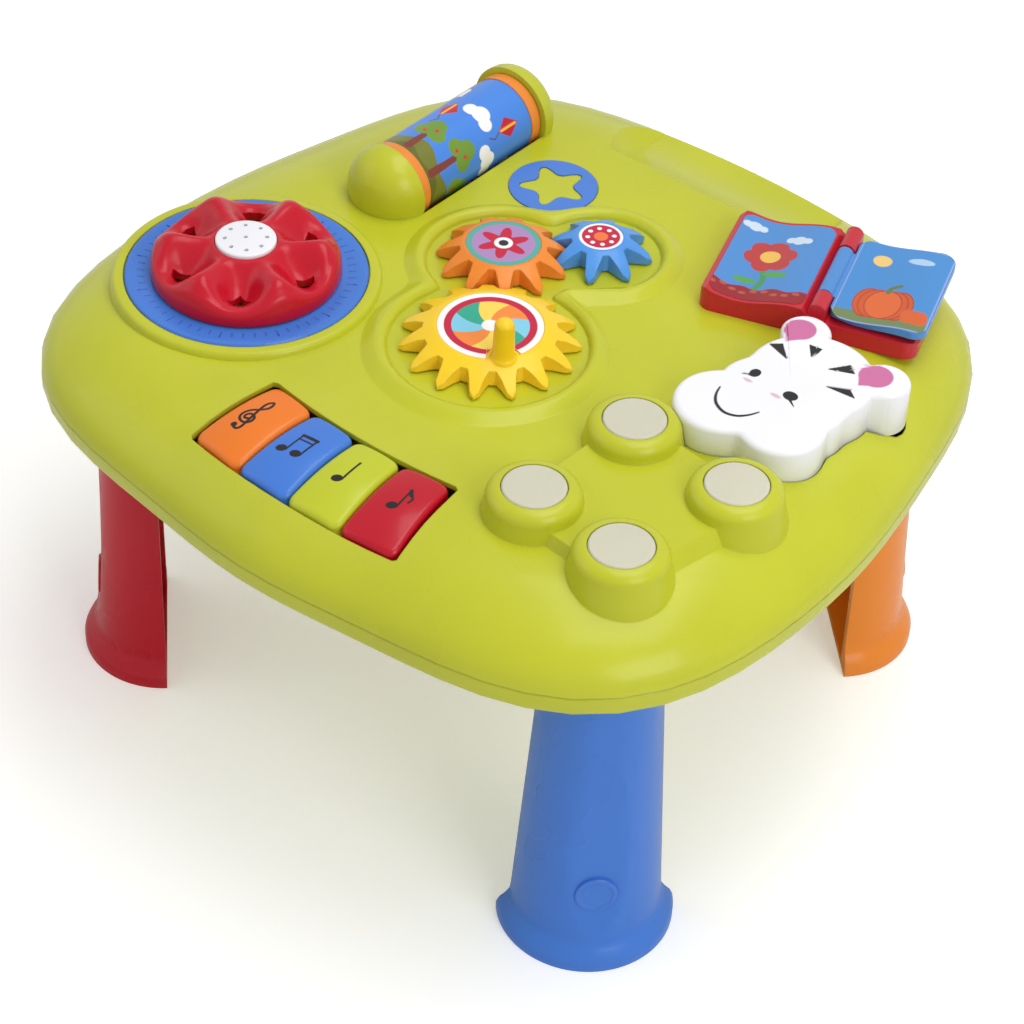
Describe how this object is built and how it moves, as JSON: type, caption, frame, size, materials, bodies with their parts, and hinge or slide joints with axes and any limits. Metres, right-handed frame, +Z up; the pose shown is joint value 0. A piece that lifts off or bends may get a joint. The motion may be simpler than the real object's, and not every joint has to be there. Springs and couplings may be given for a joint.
{
  "type": "musical activity table",
  "caption": "Children's musical activity table: moulded lime top on four half-round legs with a steering wheel, gears, roller, turning page, piano keys and press buttons",
  "frame": {"origin": "centre of the plan outline, on the floor", "axes": "+X to the right of the child at the keys, +Y away from the keys, +Z up"},
  "size_m": [0.4492, 0.4306, 0.276],
  "materials": {
    "lime_plastic": "satin moulded",
    "red_plastic": "satin moulded",
    "blue_plastic": "satin moulded",
    "gear_blue_plastic": "satin moulded",
    "page_blue_plastic": "satin moulded",
    "orange_plastic": "satin moulded",
    "yellow_plastic": "satin moulded",
    "white_plastic": "satin moulded",
    "lens_plastic": "frosted",
    "steel": "plated",
    "board_green": "lacquered board",
    "pad_rubber": "moulded",
    "dark_plastic": "moulded"
  },
  "bodies": {
    "table": {"top_shell": "lime_plastic", "bottom_shell": "lime_plastic", "leg_red": "red_plastic", "leg_blue": "blue_plastic", "leg_orange": "orange_plastic", "leg_yellow": "yellow_plastic", "dial_ring": "blue_plastic", "wheel_screw": "steel", "gear_screws": "steel", "drum_axle": "steel", "star_plate": "blue_plastic", "book_base": "red_plastic", "book_pin": "steel", "animal_pad": "pad_rubber", "button_board": "board_green", "lamps": "lens_plastic", "switch_pads": "pad_rubber", "key_pads": "pad_rubber", "main_board": "board_green", "speaker": "dark_plastic", "battery_door": "lime_plastic", "battery_cells": "dark_plastic", "battery_contacts": "steel", "battery_screw": "steel", "case_screws": "steel"},
    "steering": {"wheel": "red_plastic", "wheel_hub_cap": "white_plastic"},
    "big_gear": {"gear_yellow": "yellow_plastic", "gear_label_yellow": "white_plastic"},
    "middle_gear": {"gear_orange": "orange_plastic", "gear_label_orange": "white_plastic"},
    "small_gear": {"gear_blue": "gear_blue_plastic", "gear_label_blue": "white_plastic"},
    "drum": {"drum_barrel": "blue_plastic", "drum_cap_front": "orange_plastic", "drum_cap_rear": "orange_plastic"},
    "page": {"book_leaf": "page_blue_plastic"},
    "animal": {"animal_head": "white_plastic"},
    "power_slider": {"power_switch": "dark_plastic"},
    "piano_key_orange": {"key_orange": "orange_plastic"},
    "piano_key_blue": {"key_blue": "blue_plastic"},
    "piano_key_lime": {"key_lime": "lime_plastic"},
    "piano_key_red": {"key_red": "red_plastic"},
    "light_button_a": {"lens_a": "lens_plastic"},
    "light_button_b": {"lens_b": "lens_plastic"},
    "light_button_c": {"lens_c": "lens_plastic"},
    "light_button_d": {"lens_d": "lens_plastic"}
  },
  "joints": [
    {"name": "wheel_spin", "type": "hinge", "parent": "table", "child": "steering", "pos_m": [-0.128, -0.0755, 0.25], "axis": [0, 0, 1], "continuous": true},
    {"name": "big_gear_spin", "type": "hinge", "parent": "table", "child": "big_gear", "pos_m": [0.0031, -0.0329, 0.245], "axis": [0, 0, 1], "continuous": true},
    {"name": "middle_gear_spin", "type": "hinge", "parent": "table", "child": "middle_gear", "pos_m": [-0.03788, 0.02606, 0.245], "axis": [0, 0, 1], "continuous": true},
    {"name": "small_gear_spin", "type": "hinge", "parent": "table", "child": "small_gear", "pos_m": [-0.00359, 0.06578, 0.245], "axis": [0, 0, 1], "continuous": true},
    {"name": "drum_spin", "type": "hinge", "parent": "table", "child": "drum", "pos_m": [-0.1217, 0.0812, 0.247], "axis": [0, 1, 0], "continuous": true},
    {"name": "page_turn", "type": "hinge", "parent": "table", "child": "page", "pos_m": [0.10998, 0.12024, 0.2552], "axis": [0.3338, -0.9426, 0], "range_deg": [0, 165]},
    {"name": "key_press_orange", "type": "slide", "parent": "table", "child": "piano_key_orange", "axis": [0, 0, -1], "range_m": [0, 0.003], "stiffness_N_per_m": 400, "deforming": ["key_pads"]},
    {"name": "key_press_blue", "type": "slide", "parent": "table", "child": "piano_key_blue", "axis": [0, 0, -1], "range_m": [0, 0.003], "stiffness_N_per_m": 400, "deforming": ["key_pads"]},
    {"name": "key_press_lime", "type": "slide", "parent": "table", "child": "piano_key_lime", "axis": [0, 0, -1], "range_m": [0, 0.003], "stiffness_N_per_m": 400, "deforming": ["key_pads"]},
    {"name": "key_press_red", "type": "slide", "parent": "table", "child": "piano_key_red", "axis": [0, 0, -1], "range_m": [0, 0.003], "stiffness_N_per_m": 400, "deforming": ["key_pads"]},
    {"name": "animal_press", "type": "slide", "parent": "table", "child": "animal", "axis": [0, 0, -1], "range_m": [0, 0.003], "stiffness_N_per_m": 600, "deforming": ["animal_pad"]},
    {"name": "light_press_a", "type": "slide", "parent": "table", "child": "light_button_a", "axis": [0, 0, -1], "range_m": [0, 0.002], "stiffness_N_per_m": 500, "deforming": ["switch_pads"]},
    {"name": "light_press_b", "type": "slide", "parent": "table", "child": "light_button_b", "axis": [0, 0, -1], "range_m": [0, 0.002], "stiffness_N_per_m": 500, "deforming": ["switch_pads"]},
    {"name": "light_press_c", "type": "slide", "parent": "table", "child": "light_button_c", "axis": [0, 0, -1], "range_m": [0, 0.002], "stiffness_N_per_m": 500, "deforming": ["switch_pads"]},
    {"name": "light_press_d", "type": "slide", "parent": "table", "child": "light_button_d", "axis": [0, 0, -1], "range_m": [0, 0.002], "stiffness_N_per_m": 500, "deforming": ["switch_pads"]},
    {"name": "power_slide", "type": "slide", "parent": "table", "child": "power_slider", "axis": [1, 0, 0], "range_m": [0, 0.008]}
  ],
  "couplings": [
    {"joint": "middle_gear_spin", "follows": "big_gear_spin", "ratio": -1.3636},
    {"joint": "small_gear_spin", "follows": "big_gear_spin", "ratio": 1.875}
  ]
}
